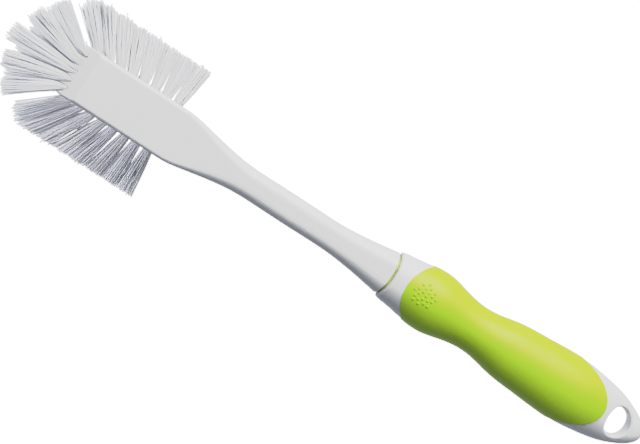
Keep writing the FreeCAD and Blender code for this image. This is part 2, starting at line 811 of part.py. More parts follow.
def build_grip_region():
    """Build the upright block whose plan is the grip's: straight sides and an oval end each way."""
    half_width = "(Sizes.palm_width / 2 + Sizes.grip_proud + Sizes.grip_side_room)"
    front_centre = "(Sizes.grip_start + Sizes.grip_front_round)"
    rear_centre = "(Sizes.grip_end - Sizes.grip_rear_round)"
    front = upright_oval("GripFront", front_centre, "Sizes.grip_front_round", half_width)
    rear = upright_oval("GripRear", rear_centre, "Sizes.grip_rear_round", half_width)
    middle = primitive(
        "Box",
        "GripMiddle",
        Length=f"{rear_centre} - {front_centre}",
        Width="Sizes.palm_width + 2 * Sizes.overrun",
        Height="Sizes.palm_thick + Sizes.thumb_thick",
        Placement__Base__x=f"{HANDLE_START} + {front_centre}",
        Placement__Base__y="-(Sizes.palm_width / 2 + Sizes.overrun)",
        Placement__Base__z=f"{AXIS} - (Sizes.palm_thick + Sizes.thumb_thick) / 2",
    )
    region = doc.addObject("Part::MultiFuse", "GripRegion")
    region.Shapes = [front, middle, rear]
    return region


def build_hang_hole():
    """Build the cutter of the hang hole: the space that two upright cylinders share."""
    rear_centre = "(Sizes.hang_hole_end - Sizes.hang_hole_rear_radius)"
    front_centre = "(Sizes.hang_hole_end - Sizes.hang_hole_length + Sizes.hang_hole_front_radius)"
    height = "Sizes.palm_thick"
    cylinders = []
    for name, centre, radius in (
        ("HoleRear", rear_centre, "Sizes.hang_hole_rear_radius"),
        ("HoleFront", front_centre, "Sizes.hang_hole_front_radius"),
    ):
        cylinders.append(
            primitive(
                "Cylinder",
                name,
                Radius=radius,
                Height=height,
                Placement__Base__x=f"{HANDLE_START} + {centre}",
                Placement__Base__z=f"{AXIS} - {height} / 2",
            )
        )
    plan = boolean("Common", "HolePlan", *cylinders)
    return round_edges(
        "HangHole",
        plan,
        size("hang_hole_corner_radius"),
        lambda edge: isinstance(edge.Curve, Part.Line),
    )


def build_socket():
    """Build the cutter of the socket that takes the tang and its lugs."""
    socket = primitive(
        "Box",
        "SocketBore",
        Length="Sizes.tang_length + Sizes.socket_clearance + Sizes.overrun",
        Width="Sizes.tang_width + 2 * Sizes.socket_clearance",
        Height="Sizes.tang_thick + 2 * Sizes.socket_clearance",
        Placement__Base__x=f"{HANDLE_START} - Sizes.overrun",
        Placement__Base__y="-(Sizes.tang_width / 2 + Sizes.socket_clearance)",
        Placement__Base__z=f"{AXIS} - (Sizes.tang_thick / 2 + Sizes.socket_clearance)",
    )
    catch = primitive(
        "Box",
        "LugCatch",
        Length="Sizes.lug_length + 2 * Sizes.socket_clearance",
        Width="Sizes.lug_width + 2 * Sizes.socket_clearance",
        Height="Sizes.tang_thick + 2 * Sizes.lug_height + 2 * Sizes.socket_clearance",
        Placement__Base__x=f"{HANDLE_START} + Sizes.lug_station - Sizes.socket_clearance",
        Placement__Base__y="-(Sizes.lug_width / 2 + Sizes.socket_clearance)",
        Placement__Base__z=(
            f"{AXIS} - (Sizes.tang_thick / 2 + Sizes.lug_height + Sizes.socket_clearance)"
        ),
    )
    return boolean("Fuse", "Socket", socket, catch)


def build_handle_and_grip():
    """Build the handle's core and the grip that is moulded into the hollow left round it."""
    blank = handle_form("HandleForm", 0.0)
    bowl = seam_cylinder("CollarBowl", "Sizes.seam_radius + Sizes.seam_gap")
    form = boolean("Cut", "HandleBowed", blank, bowl)
    seat = handle_form("GripSeat", -size("grip_wall"))
    proud_form = handle_form("GripForm", size("grip_proud"))
    region = build_grip_region()
    sleeve = boolean("Common", "GripSleeve", proud_form, region)
    grip = boolean("Cut", "grip", sleeve, seat)
    hollow = boolean("Cut", "GripHollow", region, seat)
    core = boolean("Cut", "HandleCore", form, hollow)
    holed = boolean("Cut", "HandleHoled", core, build_hang_hole())
    collar_face = size("head_length") + size("neck_length") + size("seam_gap")
    tolerance = size("seam_gap") * MATCH_SHARE
    rounded = round_edges(
        "HandleRounded",
        holed,
        size("collar_edge_radius"),
        lambda edge: edge.BoundBox.XMax < collar_face + tolerance,
    )
    hole_start = collar_face + size("hang_hole_end") - size("hang_hole_length")
    hole_end = collar_face + size("hang_hole_end")
    hole_half_width = size("hang_hole_rear_radius")
    rimmed = round_edges(
        "HandleRimmed",
        rounded,
        size("hang_hole_rim_radius"),
        lambda edge: not isinstance(edge.Curve, Part.Line)
        and edge.BoundBox.XMin > hole_start - tolerance
        and edge.BoundBox.XMax < hole_end + tolerance
        and edge.BoundBox.YMax < hole_half_width + tolerance
        and edge.BoundBox.YMin > -hole_half_width - tolerance,
    )
    handle = boolean("Cut", "handle", rimmed, build_socket())
    return handle, grip


def build_tufts_and_head():
    """Build the tufts, their anchors in one group for each row, and the head with its bores."""
    pieces = {}
    bores = []
    for row, tufts in ROWS.items():
        anchors = []
        for tuft in tufts:
            anchors.append(build_anchor(tuft))
            bores.append(build_bore(tuft))
            pieces[tuft.name] = build_tuft(tuft, anchors[-1])
        group = doc.addObject("Part::Compound", f"anchors_{row}")
        group.Links = anchors
        pieces[f"anchors_{row}"] = group
    cutters = doc.addObject("Part::Compound", "Bores")
    cutters.Links = bores
    pieces["head"] = boolean("Cut", "head", build_head_blank(), cutters)
    return pieces


def outline_corners(shapes):
    """Return the corners of a fine mesh of some shapes."""
    return [corner for shape in shapes for corner in shape.tessellate(size("bore_clearance"))[0]]


def lowest(corners, pitch):
    """Return the lowest of some corners once they are pitched tail down by an angle."""
    return min(corners, key=lambda corner: corner.z * math.cos(pitch) - corner.x * math.sin(pitch))


def rest_placement(pieces):
    """Lay the brush on its tufts and its grip, its box centred on the origin, the floor at Z = 0."""
    tufts = outline_corners(
        [piece.Shape for name, piece in pieces.items() if name.startswith("tuft")]
    )
    held = outline_corners([pieces["grip"].Shape, pieces["handle"].Shape])
    pitch = 0.0
    for _ in range(SETTLING_ROUNDS):
        head_foot = lowest(tufts, pitch)
        tail_foot = lowest(held, pitch)
        pitch = math.atan2(tail_foot.z - head_foot.z, tail_foot.x - head_foot.x)
    turned = Placement(Vector(), Rotation(Vector(0, 1, 0), math.degrees(pitch)))
    laid = Part.Compound([piece.Shape for piece in pieces.values()])
    laid.Placement = turned
    box = laid.optimalBoundingBox(False, False)
    return Placement(Vector(-box.Center.x, 0, -box.ZMin), turned.Rotation)


pieces = build_tufts_and_head()
pieces["handle"], pieces["grip"] = build_handle_and_grip()
pieces["neck_ring"] = build_ring()
doc.recompute()

for item in doc.Objects:
    if "Invalid" in item.State or "Error" in item.State:
        raise RuntimeError(f"{item.Label} failed: {item.State}")

rest = rest_placement(pieces)
for name, piece in pieces.items():
    piece.Label = name
    piece.Placement = rest.multiply(piece.Placement)
    if piece.Shape.isNull() or not piece.Shape.isValid():
        raise RuntimeError(f"{name} has no valid shape")

os.makedirs("parts", exist_ok=True)
for name, piece in pieces.items():
    piece.Shape.exportStep(f"parts/{name}.step")
    print(f"{name}: {len(piece.Shape.Solids)} solids, {piece.Shape.Volume:.1f} mm3")

print(f"pitch at rest {math.degrees(rest.Rotation.Angle):.3f} degrees, moved by {rest.Base}")
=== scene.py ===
"""Dish brush: its looks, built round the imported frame.

The brush lies on the floor with its nose towards -X and its tail towards +X, back up, as the frame
holds it. All lengths are in metres. Every filament of every tuft is modelled; the mouldings keep
their solids and get their finishes here.
"""

import logging
import math
from dataclasses import dataclass, field
from enum import Enum
from typing import ClassVar

import bpy
import numpy as np
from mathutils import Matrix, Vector


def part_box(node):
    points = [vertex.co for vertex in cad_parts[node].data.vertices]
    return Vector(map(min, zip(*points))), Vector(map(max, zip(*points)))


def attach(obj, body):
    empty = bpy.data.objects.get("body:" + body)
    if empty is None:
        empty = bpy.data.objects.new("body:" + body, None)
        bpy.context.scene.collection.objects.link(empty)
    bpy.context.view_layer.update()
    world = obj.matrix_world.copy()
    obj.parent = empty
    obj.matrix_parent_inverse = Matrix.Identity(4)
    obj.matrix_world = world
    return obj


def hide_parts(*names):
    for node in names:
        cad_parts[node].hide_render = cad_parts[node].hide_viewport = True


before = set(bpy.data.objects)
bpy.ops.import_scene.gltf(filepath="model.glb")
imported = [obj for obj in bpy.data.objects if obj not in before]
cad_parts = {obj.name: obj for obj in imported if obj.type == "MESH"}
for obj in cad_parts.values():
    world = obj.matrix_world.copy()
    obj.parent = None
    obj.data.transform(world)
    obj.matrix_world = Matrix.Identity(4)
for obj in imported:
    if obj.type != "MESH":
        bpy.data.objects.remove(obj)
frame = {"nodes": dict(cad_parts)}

LOG = logging.getLogger("dish_brush")
BODY = "root"
GOLDEN_ANGLE = math.pi * (3 - math.sqrt(5))
UP = (0.0, 0.0, 1.0)
DOWN = (0.0, 0.0, -1.0)

Socket = bpy.types.NodeSocket
Value = Socket | float | int | tuple | str
Inputs = dict[str | int, Value]
Span = tuple[float, float]
Triple = tuple[float, float, float]


class Slot(Enum):
    """The record's material slots for the scene's own pieces; nothing below uses them."""

    LIME = "lime_rubber"
    BRISTLE = "bristle"


class TreeWriter:
    """Adds nodes to a tree and wires them, so that a tree reads as a list of steps."""

    def __init__(self, tree: bpy.types.NodeTree) -> None:
        """Keep the tree that gets the nodes."""
        self.tree = tree

    def feed(self, socket: Socket, value: Value) -> None:
        """Link a socket to another, or set its constant.

        Args:
            socket: The input that takes the value.
            value: Another node's output, or a constant.
        """
        if isinstance(value, Socket):
            self.tree.links.new(value, socket)
        else:
            socket.default_value = value

    def add(self, kind: str, inputs: Inputs | None = None, **settings: object) -> bpy.types.Node:
        """Add one node.

        Args:
            kind: The node's type name.
            inputs: What its inputs get, by name or by number.
            settings: Properties of the node, set before its inputs.

        Returns:
            The new node.
        """
        node = self.tree.nodes.new(kind)
        for name, setting in settings.items():
            setattr(node, name, setting)
        for key, value in (inputs or {}).items():
            if isinstance(key, int):
                self.feed(node.inputs[key], value)
            else:
                self.feed(next(s for s in node.inputs if s.name == key and s.enabled), value)
        return node

    def out(self, kind: str, inputs: Inputs | None = None, **settings: object) -> Socket:
        """Add one node as add does, and return its first output."""
        return self.add(kind, inputs, **settings).outputs[0]

    def math(self, operation: str, first: Value, second: Value = 0.0, clamp: bool = False) -> Socket:
        """Return the result of one sum on numbers."""
        return self.out("ShaderNodeMath", {0: first, 1: second}, operation=operation, use_clamp=clamp)

    def vector(self, operation: str, first: Value, second: Value = (0.0, 0.0, 0.0)) -> Socket:
        """Return the vector that one sum on vectors gives."""
        return self.out("ShaderNodeVectorMath", {0: first, 1: second}, operation=operation)

    def dot(self, first: Value, second: Value) -> Socket:
        """Return the dot product of two vectors."""
        node = self.add("ShaderNodeVectorMath", {0: first, 1: second}, operation="DOT_PRODUCT")
        return node.outputs["Value"]

    def scaled(self, vector: Value, share: Value) -> Socket:
        """Return a vector times a number."""
        return self.out("ShaderNodeVectorMath", {0: vector, "Scale": share}, operation="SCALE")

    def mixed(self, first: Value, second: Value, share: Value) -> Socket:
        """Return the vector part of the way from one vector to another."""
        way = self.vector("SUBTRACT", second, first)
        return self.vector("ADD", first, self.scaled(way, share))

    def noise(self, place: Socket, scale: float, detail: float = 2.0) -> Socket:
        """Return smooth noise over a surface, about one half on average."""
        return self.out("ShaderNodeTexNoise", {"Vector": place, "Scale": scale, "Detail": detail})

    def ranged(self, share: Value, span: Span) -> Socket:
        """Return a share from 0 to 1 moved to a range."""
        low, high = span
        return self.out("ShaderNodeMapRange", {"Value": share, "To Min": low, "To Max": high})

    def share(self, value: Value, span: Span) -> Socket:
        """Return how far a value has come through a range, from 0 to 1."""
        low, high = span
        return self.out("ShaderNodeMapRange", {"Value": value, "From Min": low, "From Max": high})


@dataclass(frozen=True)
class Finish:
    """A surface's finish: what every shader here shares."""

    name: str
    colour: Triple
    roughness: float

    def shader(self) -> tuple[bpy.types.Material, TreeWriter, bpy.types.Node, Socket]:
        """Start a material.

        Returns:
            The material, a writer for its tree, its surface shader and its Object coordinates.
        """
        material = bpy.data.materials.new(self.name)
        material.use_nodes = True
        writer = TreeWriter(material.node_tree)
        surface = material.node_tree.nodes["Principled BSDF"]
        surface.inputs["Base Color"].default_value = (*self.colour, 1.0)
        surface.inputs["Roughness"].default_value = self.roughness
        place = writer.add("ShaderNodeTexCoord").outputs["Object"]
        return material, writer, surface, place

    def tint(self, writer: TreeWriter, surface: bpy.types.Node, pattern: Socket, span: Span) -> None:
        """Make a shader's colour darker or lighter by a pattern.

        Args:
            writer: The material's writer.
            surface: The shader.
            pattern: The pattern, from 0 to 1.
            span: The brightness where the pattern is 0, and where it is 1.
        """
        writer.feed(surface.inputs["Base Color"], writer.scaled(self.colour, writer.ranged(pattern, span)))

    def roughen(self, writer: TreeWriter, surface: bpy.types.Node, pattern: Socket, spread: float) -> None:
        """Let a shader's roughness swing with a pattern, by a spread each way."""
        span = (self.roughness - spread, self.roughness + spread)
        writer.feed(surface.inputs["Roughness"], writer.ranged(pattern, span))

    def bump(self, writer: TreeWriter, surface: bpy.types.Node, height: Socket, depth: float) -> None:
        """Give a shader a bump whose height runs from 0 to a depth."""
        bump = writer.out("ShaderNodeBump", {"Height": height, "Distance": depth, "Strength": 1.0})
        writer.feed(surface.inputs["Normal"], bump)

    def scatter(self, surface: bpy.types.Node, share: float, depth: float) -> None:
        """Let a share of the light scatter under a shader's surface, down to a depth."""
        surface.inputs["Subsurface Weight"].default_value = share
        surface.inputs["Subsurface Radius"].default_value = (1.0, 1.0, 1.0)
        surface.inputs["Subsurface Scale"].default_value = depth


@dataclass(frozen=True)
class MouldedPlastic(Finish):
    """Satin moulded plastic: faint mottling, a fine orange peel and a waxy depth."""

    mottle_scale: float = 55.0
    mottle_span: Span = (0.975, 1.025)
    peel_scale: float = 1400.0
    peel_depth: float = 0.000012
    roughness_spread: float = 0.05
    scatter_share: float = 0.12
    scatter_depth: float = 0.0012

    def material(self) -> bpy.types.Material:
        """Make the material."""
        material, writer, surface, place = self.shader()
        mottle = writer.noise(place, self.mottle_scale, detail=3.0)
        peel = writer.noise(place, self.peel_scale)
        self.tint(writer, surface, mottle, self.mottle_span)
        self.roughen(writer, surface, peel, self.roughness_spread)
        self.bump(writer, surface, peel, self.peel_depth)
        self.scatter(surface, self.scatter_share, self.scatter_depth)
        return material


@dataclass(frozen=True)
class SoftRubber(Finish):
    """Soft-touch rubber: a powdery grain that breaks up the highlight."""

    grain_scale: float = 3200.0
    grain_depth: float = 0.00002
    roughness_spread: float = 0.06
    cloud_scale: float = 70.0
    cloud_span: Span = (0.96, 1.04)
    gloss: float = 0.6
    gloss_tint: Triple = (1.0, 0.75, 0.9)

    def material(self) -> bpy.types.Material:
        """Make the material."""
        material, writer, surface, place = self.shader()
        surface.inputs["Specular IOR Level"].default_value = self.gloss
        surface.inputs["Specular Tint"].default_value = (*self.gloss_tint, 1.0)
        cloud = writer.noise(place, self.cloud_scale, detail=3.0)
        grain = writer.noise(place, self.grain_scale)
        self.tint(writer, surface, cloud, self.cloud_span)
        self.roughen(writer, surface, grain, self.roughness_spread)
        self.bump(writer, surface, grain, self.grain_depth)
        return material


@dataclass(frozen=True)
class NylonFilament(Finish):
    """Drawn nylon filaments, each with a random tone of its own, from a painted blue-grey shade up to the
    full colour: the darker filaments and blotches are painted shade that stands in for the shade among the
    tufts.
    """

    tone_name: str = "tone"
    tone_share: float = 0.8
    # Painted shade: the blue-grey that filaments of low tone are mixed towards
    painted_shade_colour: Triple = (0.62, 0.63, 0.75)
    painted_shade_share: float = 0.45
    streak_scale: float = 900.0
    scatter_share: float = 1.0
    scatter_depth: float = 0.001

    def material(self) -> bpy.types.Material:
        """Make the material."""
        material, writer, surface, place = self.shader()
        self.scatter(surface, self.scatter_share, self.scatter_depth)
        tone = writer.add("ShaderNodeAttribute", attribute_name=self.tone_name).outputs["Fac"]
        streak = writer.noise(place, self.streak_scale)
        # Painted shade: filaments whose tone is under the share, and the noise's blotches, lean towards the
        # blue-grey
        unshaded = writer.math("DIVIDE", tone, self.painted_shade_share, clamp=True)
        own = writer.math("MULTIPLY", unshaded, self.tone_share)
        painted_blotch_shade = writer.math("MULTIPLY", streak, 1.0 - self.tone_share)
        shade = writer.math("ADD", own, painted_blotch_shade)
        writer.feed(surface.inputs["Base Color"], writer.mixed(self.painted_shade_colour, self.colour, shade))
        return material


@dataclass(frozen=True)
class DrawnWire(Finish):
    """Flat drawn wire with fine streaks."""

    streak_scale: float = 2500.0
    streak_span: Span = (0.85, 1.1)

    def material(self) -> bpy.types.Material:
        """Make the material."""
        material, writer, surface, place = self.shader()
        self.tint(writer, surface, writer.noise(place, self.streak_scale), self.streak_span)
        surface.inputs["Metallic"].default_value = 1.0
        return material


@dataclass(frozen=True)
class PaleFloor(Finish):
    """A plain pale floor that is lit from below like a light table, with the faintest unevenness."""

    cloud_scale: float = 6.0
    cloud_span: Span = (0.99, 1.01)
    glow: float = 2.6

    def material(self) -> bpy.types.Material:
        """Make the material."""
        material, writer, surface, place = self.shader()
        self.tint(writer, surface, writer.noise(place, self.cloud_scale), self.cloud_span)
        surface.inputs["Emission Color"].default_value = (1.0, 1.0, 1.0, 1.0)
        surface.inputs["Emission Strength"].default_value = self.glow
        surface.inputs["Specular IOR Level"].default_value = 0.0
        return material


@dataclass(frozen=True)
class TuftLie:
    """How one tuft lies: its root in the bore, the bore's mouth, the knee where it bends, and its tip."""

    root: Vector
    mouth: Vector
    knee: Vector
    tip: Vector
    root_radius: float
    tip_radius: float

    # An end's triangles face its way at least this much, and lie beyond this share of the length
    FACING_SHARE: ClassVar[float] = 0.8
    END_START: ClassVar[float] = 0.93

    @classmethod
    def of(cls, node: bpy.types.Object, centre: Vector, bore_depth: float, knee_length: float) -> "TuftLie":
        """Read a tuft's lie from its solid.

        Args:
            node: The tuft's solid.
            centre: A point inside the brush's head, which the root is nearer to than the tip.
            bore_depth: How far it is from the root's end to the mouth.
            knee_length: How far it is from the mouth to the knee.

        Returns:
            The lie.
        """
        triangles = cls.triangles(node.data)
        middles = triangles.mean(axis=1)
        crosses = np.cross(triangles[:, 1] - triangles[:, 0], triangles[:, 2] - triangles[:, 0]) / 2
        farthest = middles[np.argmax(np.linalg.norm(middles - np.array(centre), axis=1))]
        outwards = farthest - middles.mean(axis=0)
        outwards /= np.linalg.norm(outwards)
        tip, _, tip_radius = cls.end_disc(middles, crosses, outwards)
        root, inwards, root_radius = cls.end_disc(middles, crosses, -outwards)
        mouth = root - inwards * bore_depth
        return cls(root, mouth, mouth - inwards * knee_length, tip, root_radius, tip_radius)

    @staticmethod
    def triangles(mesh: bpy.types.Mesh) -> np.ndarray:
        """Return a mesh's triangles as corners."""
        corners = np.array([vertex.co for vertex in mesh.vertices])
        return corners[np.array([tuple(polygon.vertices) for polygon in mesh.polygons])]

    @classmethod
    def end_disc(
        cls, middles: np.ndarray, crosses: np.ndarray, way: np.ndarray
    ) -> tuple[Vector, Vector, float]:
        """Find the flat end of a tuft that faces one way.

        Args:
            middles: The middles of the solid's triangles.
            crosses: Their normals, each as long as its triangle's area.
            way: Which way the end faces, roughly.

        Returns:
            The end's middle, its normal and its radius.
        """
        areas = np.linalg.norm(crosses, axis=1)
        facing = crosses @ way > cls.FACING_SHARE * areas
        heights = middles @ way
        outermost = heights > heights.min() + cls.END_START * (heights.max() - heights.min())
        end = facing & outermost
        area = areas[end].sum()
        middle = (middles[end] * areas[end, None]).sum(axis=0) / area
        return Vector(middle), Vector(crosses[end].sum(axis=0)).normalized(), math.sqrt(area / math.pi)


class GrowingTree:
    """A node tree that grows a piece from named sizes. Each kind of piece writes its own shape."""

    NAME: str
    SIZES: tuple[tuple[str, str], ...]

    def __init__(self) -> None:
        """Build the tree, with an input for each size."""
        self.tree = bpy.data.node_groups.new(self.NAME, "GeometryNodeTree")
        self.tree.interface.new_socket("Geometry", in_out="OUTPUT", socket_type="NodeSocketGeometry")
        self.identifiers = {
            name: self.tree.interface.new_socket(name, in_out="INPUT", socket_type=kind).identifier
            for name, kind in self.SIZES
        }
        self.writer = writer = TreeWriter(self.tree)
        self.inputs = self.tree.nodes.new("NodeGroupInput").outputs
        whole = writer.out("GeometryNodeRealizeInstances", {"Geometry": self.shape()})
        smooth = writer.out("GeometryNodeSetShadeSmooth", {0: whole})
        finish = {"Geometry": smooth, "Material": self.inputs["Material"]}
        dressed = writer.out("GeometryNodeSetMaterial", finish)
        writer.feed(self.tree.nodes.new("NodeGroupOutput").inputs[0], dressed)

    def shape(self) -> Socket:
        """Write the nodes that make the shape, and return its geometry."""
        raise NotImplementedError

    def winding(
        self, number: Socket, count: Socket, reach: Socket, start: Value = 0.0
    ) -> tuple[Socket, Socket]:
        """Return an even place on a disc for each point, wound outwards from the middle.

        Args:
            number: The point's number.
            count: How many points there are.
            reach: How far out the last point lies.
            start: The turn of the first point, in radians.

        Returns:
            The place's two coordinates.
        """
        writer = self.writer
        order = writer.math("DIVIDE", writer.math("ADD", number, 0.5), count)
        out = writer.math("MULTIPLY", writer.math("SQRT", order), reach)
        turn = writer.math("ADD", writer.math("MULTIPLY", number, GOLDEN_ANGLE), start)
        first = writer.math("MULTIPLY", out, writer.math("COSINE", turn))
        second = writer.math("MULTIPLY", out, writer.math("SINE", turn))
        return first, second

    def grow(self, name: str, sizes: dict[str, object]) -> bpy.types.Object:
        """Run the tree once and keep what it grows as a plain mesh.

        Args:
            name: The piece's name.
            sizes: A value for each named input.

        Returns:
            The piece, without its modifier.
        """
        piece = bpy.data.objects.new(name, bpy.data.meshes.new(name))
        bpy.context.scene.collection.objects.link(piece)
        modifier = piece.modifiers.new("grow", "NODES")
        modifier.node_group = self.tree
        for key, value in sizes.items():
            modifier[self.identifiers[key]] = value
        graph = bpy.context.evaluated_depsgraph_get()
        mesh = bpy.data.meshes.new_from_object(piece.evaluated_get(graph), depsgraph=graph)
        piece.modifiers.remove(modifier)
        piece.data = mesh
        mesh.name = name
        return piece


class Draw(Enum):
    """A filament's random draws, numbered so that no two are alike."""

    CUT = 1
    STRAY = 2
    LEAN = 3
    LIFT = 4
    PACKING = 5
    MISSED = 6
    TONE = 7


class TuftTree(GrowingTree):
    """Grows one tuft: every filament from its root, out of the mouth, to a ragged tip."""

    NAME = "grow_tuft"
    SIZES = (
        ("Filaments", "NodeSocketInt"),
        ("Steps", "NodeSocketInt"),
        ("Seed", "NodeSocketInt"),
        ("Root", "NodeSocketVector"),
        ("Mouth", "NodeSocketVector"),
        ("Knee", "NodeSocketVector"),
        ("Tip", "NodeSocketVector"),
        ("Trim Normal", "NodeSocketVector"),
        ("Trim Reach", "NodeSocketFloat"),
        ("Root Radius", "NodeSocketFloat"),
        ("Tip Width", "NodeSocketFloat"),
        ("Tip Height", "NodeSocketFloat"),
        ("Filament Radius", "NodeSocketFloat"),
        ("Ragged", "NodeSocketFloat"),
        ("Sway", "NodeSocketFloat"),
        ("Stray Share", "NodeSocketFloat"),
        ("Stray Sway", "NodeSocketFloat"),
        ("Material", "NodeSocketMaterial"),
    )
    SIDES = 6
    # How far out a filament lies, against its even place in the section
    PACKING_SPAN = (0.86, 1.06)
    # How much a filament's sway goes up or down, against sideways
    LIFT_SPAN = (-0.4, 0.4)
    # How late along its length a filament starts to sway
    BOW_POWER = 3.0
    # A filament's least height over the floor, in filament radii
    FLOOR_ROOM = 1.2
    # How fast the bent path runs at its tip, in lengths of its last leg
    TIP_PACE = 2.0

    def __init__(self, tone_name: str) -> None:
        """Build the tree.

        Args:
            tone_name: The attribute that holds each filament's own tone.
        """
        self.tone_name = tone_name
        super().__init__()

    def random(self, filament: Socket, draw: Draw, span: Span = (0.0, 1.0)) -> Socket:
        """Return a random number for each filament.

        Args:
            filament: The filament's number.
            draw: Which draw this is.
            span: The least and the greatest value.

        Returns:
            The number.
        """
        low, high = span
        seed = self.writer.math("ADD", self.inputs["Seed"], draw.value)
        inputs = {"Min": low, "Max": high, "ID": filament, "Seed": seed}
        node = self.writer.add("FunctionNodeRandomValue", inputs, data_type="FLOAT")
        return next(socket for socket in node.outputs if socket.enabled)

    def axes(self) -> tuple[Socket, Socket]:
        """Return the level direction across the tuft, and the direction across both it and the tuft."""
        writer, inputs = self.writer, self.inputs
        axis = writer.vector("NORMALIZE", writer.vector("SUBTRACT", inputs["Tip"], inputs["Knee"]))
        across = writer.vector("NORMALIZE", writer.vector("CROSS_PRODUCT", axis, UP))
        return across, writer.vector("CROSS_PRODUCT", axis, across)

    def section_place(self, filament: Socket) -> tuple[Socket, Socket]:
        """Return a filament's place in the tuft's section, as shares of the section's two half sizes."""
        packing = self.random(filament, Draw.PACKING, self.PACKING_SPAN)
        return self.winding(filament, self.inputs["Filaments"], packing, self.inputs["Seed"])

    def path(self, share: Socket) -> Socket:
        """Return the tuft's middle line from the mouth, bending at the knee, to the tip."""
        writer, inputs = self.writer, self.inputs
        first = writer.mixed(inputs["Mouth"], inputs["Knee"], share)
        second = writer.mixed(inputs["Knee"], inputs["Tip"], share)
        return writer.mixed(first, second, share)

    def cut_share(self, filament: Socket, is_stray: Socket, offset: Socket) -> Socket:
        """Return where a filament is cut, as a share of the way from the mouth to the tip.

        Args:
            filament: The filament's number.
            is_stray: 1 for a filament that the trimming missed.
            offset: How far the filament ends from the tuft's middle line.

        Returns:
            The share.
        """
        writer, inputs = self.writer, self.inputs
        run = writer.vector("SUBTRACT", inputs["Tip"], inputs["Knee"])
        end = writer.vector("ADD", inputs["Tip"], offset)
        room = writer.math("SUBTRACT", inputs["Trim Reach"], writer.dot(end, inputs["Trim Normal"]))
        slope = writer.math("MULTIPLY", writer.dot(run, inputs["Trim Normal"]), self.TIP_PACE)
        trim = writer.math("DIVIDE", room, slope)
        cut = writer.math("MULTIPLY", inputs["Ragged"], self.random(filament, Draw.CUT, (-1.0, 1.0)))
        missed = writer.math("MULTIPLY", inputs["Ragged"], self.random(filament, Draw.MISSED))
        uncut = writer.math("MULTIPLY", is_stray, missed)
        return writer.math("ADD", 1.0, writer.math("ADD", trim, writer.math("ADD", cut, uncut)))

    def place(self, filament: Socket, step: Socket) -> Socket:
        """Return the place of one point of one filament.

        Args:
            filament: The filament's number.
            step: The point's number along the filament; the first one is the root.

        Returns:
            The place.
        """
        writer, inputs = self.writer, self.inputs
        across, upward = self.axes()
        sideways, upwards = self.section_place(filament)

        def spread(width: Value, height: Value) -> Socket:
            """Return the filament's offset in a section of two half sizes."""
            first = writer.scaled(across, writer.math("MULTIPLY", sideways, width))
            second = writer.scaled(upward, writer.math("MULTIPLY", upwards, height))
            return writer.vector("ADD", first, second)

        tight = spread(inputs["Root Radius"], inputs["Root Radius"])
        wide = spread(inputs["Tip Width"], inputs["Tip Height"])
        is_stray = writer.math("LESS_THAN", self.random(filament, Draw.STRAY), inputs["Stray Share"])
        steps_out = writer.math("SUBTRACT", inputs["Steps"], 2)
        way = writer.math("DIVIDE", writer.math("SUBTRACT", step, 1), steps_out)
        share = writer.math("MULTIPLY", way, self.cut_share(filament, is_stray, wide))
        line = writer.vector("ADD", self.path(share), writer.mixed(tight, wide, share))

        sway = writer.math("ADD", inputs["Sway"], writer.math("MULTIPLY", is_stray, inputs["Stray Sway"]))
        bend = writer.math("POWER", writer.math("MAXIMUM", share, 0.0), self.BOW_POWER)
        bow = writer.math("MULTIPLY", sway, bend)
        lean = writer.math("MULTIPLY", bow, self.random(filament, Draw.LEAN, (-1.0, 1.0)))
        lift = writer.math("MULTIPLY", bow, self.random(filament, Draw.LIFT, self.LIFT_SPAN))
        bent = writer.vector("ADD", line, writer.scaled(across, lean))
        bent = writer.vector("ADD", bent, writer.scaled(upward, lift))
        at_root = writer.vector("ADD", inputs["Root"], tight)
        is_out = writer.math("GREATER_THAN", step, 0.5)
        return self.above_floor(writer.mixed(at_root, bent, is_out))

    def above_floor(self, place: Socket) -> Socket:
        """Return a place, lifted to lie on the floor if it is under it."""
        writer = self.writer
        parts = writer.add("ShaderNodeSeparateXYZ", {0: place}).outputs
        room = writer.math("MULTIPLY", self.inputs["Filament Radius"], self.FLOOR_ROOM)
        height = writer.math("MAXIMUM", parts["Z"], room)
        return writer.out("ShaderNodeCombineXYZ", {"X": parts["X"], "Y": parts["Y"], "Z": height})

    def shape(self) -> Socket:
        """Lay out points, join them into filaments, and give those a section."""
        writer, inputs = self.writer, self.inputs
        index = writer.out("GeometryNodeInputIndex")
        filament = writer.math("FLOOR", writer.math("DIVIDE", index, inputs["Steps"]))
        step = writer.math("SUBTRACT", index, writer.math("MULTIPLY", filament, inputs["Steps"]))
        count = writer.math("MULTIPLY", inputs["Filaments"], inputs["Steps"])
        points = writer.out("GeometryNodePoints", {"Count": count, "Position": self.place(filament, step)})
        toned = writer.out(
            "GeometryNodeStoreNamedAttribute",
            {"Geometry": points, "Name": self.tone_name, "Value": self.random(filament, Draw.TONE)},
            data_type="FLOAT",
            domain="POINT",
        )
        strands = writer.out(
            "GeometryNodePointsToCurves",
            {"Points": toned, "Curve Group ID": filament, "Weight": step},
        )
        even = writer.out("GeometryNodeSetCurveRadius", {"Curve": strands, "Radius": 1.0})
        section = writer.out(
            "GeometryNodeCurvePrimitiveCircle",
            {"Resolution": self.SIDES, "Radius": inputs["Filament Radius"]},
        )
        return writer.out(
            "GeometryNodeCurveToMesh", {"Curve": even, "Profile Curve": section, "Fill Caps": True}
        )


class Trim(Enum):
    """How a row of tufts is trimmed: square to each tuft, level, or to one line along a side."""

    SQUARE = "square"
    LEVEL = "level"
    LEFT_SIDE = "left_side"
    RIGHT_SIDE = "right_side"


@dataclass(frozen=True)
class Row:
    """One row of tufts.

    It says how the row is trimmed, how far its tips spread beyond those of the solids, and how many
    times more ragged they are than a neat cut.
    """

    trim: Trim
    spread: float = 1.14
    raggedness: float = 1.0


